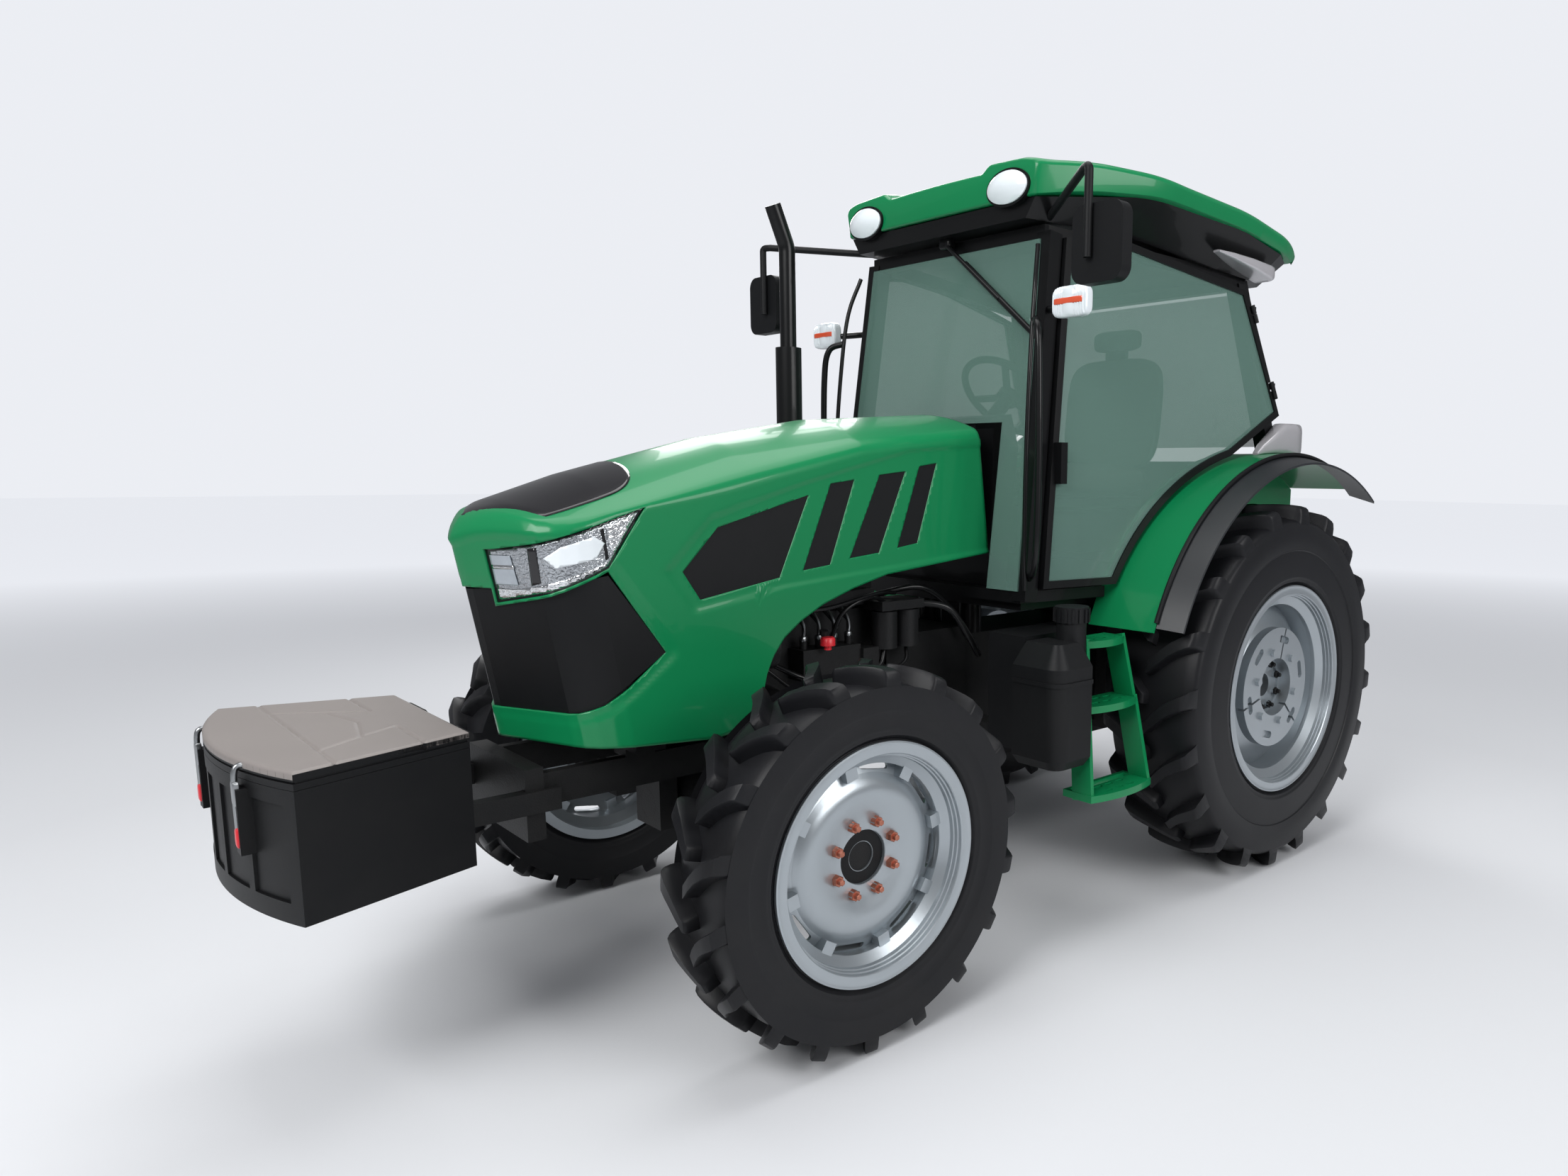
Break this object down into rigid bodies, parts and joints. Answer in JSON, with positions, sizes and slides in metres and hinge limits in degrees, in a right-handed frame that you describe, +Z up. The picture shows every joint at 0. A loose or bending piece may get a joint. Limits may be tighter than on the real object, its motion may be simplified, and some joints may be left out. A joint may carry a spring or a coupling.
{
  "type": "farm tractor",
  "caption": "Four-wheel-drive farm tractor with a glazed cab, one-piece hood, front tool box, side tank and steps, and a rear three-point hitch.",
  "frame": {"origin": "on the ground under the middle of the whole machine", "axes": "+Z up, +Y from the nose to the hitch, +X to the tractor's left"},
  "size_m": [1.94, 4.281, 2.6075],
  "materials": {
    "green_paint": "gloss",
    "dark_castings": "satin paint",
    "black_paint": "satin",
    "plain_steel": "plain",
    "black_plastic": "moulded",
    "grey_plastic": "moulded",
    "flap_rubber": "satin",
    "tinted_glass": "clear",
    "lamp_lens": "clear",
    "tyre": "new",
    "silver_rims": "silver",
    "seat_cloth": "cloth"
  },
  "bodies": {
    "chassis": {"front_frame": "dark_castings", "engine": "dark_castings", "transmission": "dark_castings", "front_axle_beam": "dark_castings", "exhaust_stack": "black_paint", "fuel_tank": "black_plastic", "battery_box": "black_plastic", "steps_left": "green_paint", "steps_right": "green_paint", "cab_frame": "black_paint", "cab_base": "black_paint", "cab_glass": "tinted_glass", "rear_window": "tinted_glass", "roof": "green_paint", "cab_lamps": "lamp_lens", "mirrors": "black_plastic", "fender_left": "green_paint", "fender_right": "green_paint", "fender_flap_left": "flap_rubber", "fender_flap_right": "flap_rubber", "seat": "seat_cloth", "dashboard": "black_plastic", "drawbar": "dark_castings", "toolbox": "black_plastic"},
    "hood": {"hood": "green_paint", "hood_grilles": "black_plastic", "headlights": "lamp_lens"},
    "toolbox_lid": {"toolbox_lid": "grey_plastic"},
    "door_left": {"door_frame_left": "black_paint", "door_glass_left": "tinted_glass"},
    "door_right": {"door_frame_right": "black_paint", "door_glass_right": "tinted_glass"},
    "steering_wheel": {"steering_wheel": "black_plastic"},
    "knuckle_left": {"knuckle_left": "dark_castings"},
    "knuckle_right": {"knuckle_right": "dark_castings"},
    "tie_rod": {"tie_rod": "plain_steel"},
    "wheel_front_left": {"front_tyre_left": "tyre", "front_rim_left": "silver_rims"},
    "wheel_front_right": {"front_tyre_right": "tyre", "front_rim_right": "silver_rims"},
    "wheel_rear_left": {"rear_tyre_left": "tyre", "rear_rim_left": "silver_rims"},
    "wheel_rear_right": {"rear_tyre_right": "tyre", "rear_rim_right": "silver_rims"},
    "lift_arms": {"lift_arms": "black_paint"},
    "lower_links": {"lower_links": "black_paint"},
    "lift_rods": {"lift_rods": "plain_steel"},
    "top_link": {"top_link": "black_paint"}
  },
  "joints": [
    {"name": "steer_left", "type": "hinge", "parent": "chassis", "child": "knuckle_left", "pos_m": [0.56, -0.8425, 0.525], "axis": [0, 0, 1], "range_deg": [-40, 40]},
    {"name": "steer_right", "type": "hinge", "parent": "chassis", "child": "knuckle_right", "pos_m": [-0.56, -0.8425, 0.525], "axis": [0, 0, 1], "range_deg": [-40, 40]},
    {"name": "tie_rod_pin", "type": "hinge", "parent": "knuckle_left", "child": "tie_rod", "pos_m": [0.56, -0.6325, 0.43], "axis": [0, 0, 1], "range_deg": [-40, 40]},
    {"name": "front_left_roll", "type": "hinge", "parent": "knuckle_left", "child": "wheel_front_left", "pos_m": [0.775, -0.8425, 0.525], "axis": [1, 0, 0], "continuous": true},
    {"name": "front_right_roll", "type": "hinge", "parent": "knuckle_right", "child": "wheel_front_right", "pos_m": [-0.775, -0.8425, 0.525], "axis": [1, 0, 0], "continuous": true},
    {"name": "rear_left_roll", "type": "hinge", "parent": "chassis", "child": "wheel_rear_left", "pos_m": [0.732, 1.2025, 0.717], "axis": [1, 0, 0], "continuous": true},
    {"name": "rear_right_roll", "type": "hinge", "parent": "chassis", "child": "wheel_rear_right", "pos_m": [-0.732, 1.2025, 0.717], "axis": [1, 0, 0], "continuous": true},
    {"name": "hood_hinge", "type": "hinge", "parent": "chassis", "child": "hood", "pos_m": [0, 0.0625, 1.682], "axis": [-1, 0, 0], "range_deg": [0, 55]},
    {"name": "toolbox_lid_hinge", "type": "hinge", "parent": "chassis", "child": "toolbox_lid", "pos_m": [0, -1.6365, 0.881], "axis": [-1, 0, 0], "range_deg": [0, 75]},
    {"name": "door_left_hinge", "type": "hinge", "parent": "chassis", "child": "door_left", "pos_m": [0.70643, 1.3955, 1.782], "axis": [-0.1142, -0.3566, 0.9272], "range_deg": [0, 70]},
    {"name": "door_right_hinge", "type": "hinge", "parent": "chassis", "child": "door_right", "pos_m": [-0.70643, 1.3955, 1.782], "axis": [-0.1142, 0.3566, -0.9272], "range_deg": [0, 70]},
    {"name": "steering_wheel_turn", "type": "hinge", "parent": "chassis", "child": "steering_wheel", "pos_m": [0, 0.5475, 1.84], "axis": [0, 0.6887, 0.725], "continuous": true},
    {"name": "lift_arms_pivot", "type": "hinge", "parent": "chassis", "child": "lift_arms", "pos_m": [0, 1.3575, 1.01], "axis": [1, 0, 0], "range_deg": [-20, 40]},
    {"name": "lower_links_pivot", "type": "hinge", "parent": "chassis", "child": "lower_links", "pos_m": [0, 1.3225, 0.5], "axis": [1, 0, 0], "range_deg": [-17.2, 34.3]},
    {"name": "lift_rods_pin", "type": "hinge", "parent": "lower_links", "child": "lift_rods", "pos_m": [0, 1.70157, 0.47349], "axis": [1, 0, 0], "range_deg": [-33.9, 17]},
    {"name": "top_link_pin", "type": "hinge", "parent": "chassis", "child": "top_link", "pos_m": [0, 1.4435, 0.9], "axis": [1, 0, 0], "range_deg": [-35, 40]}
  ],
  "couplings": [
    {"joint": "steer_right", "follows": "steer_left", "ratio": 1},
    {"joint": "tie_rod_pin", "follows": "steer_left", "ratio": -1},
    {"joint": "lower_links_pivot", "follows": "lift_arms_pivot", "ratio": 0.852},
    {"joint": "lift_rods_pin", "follows": "lift_arms_pivot", "ratio": -0.8434}
  ]
}
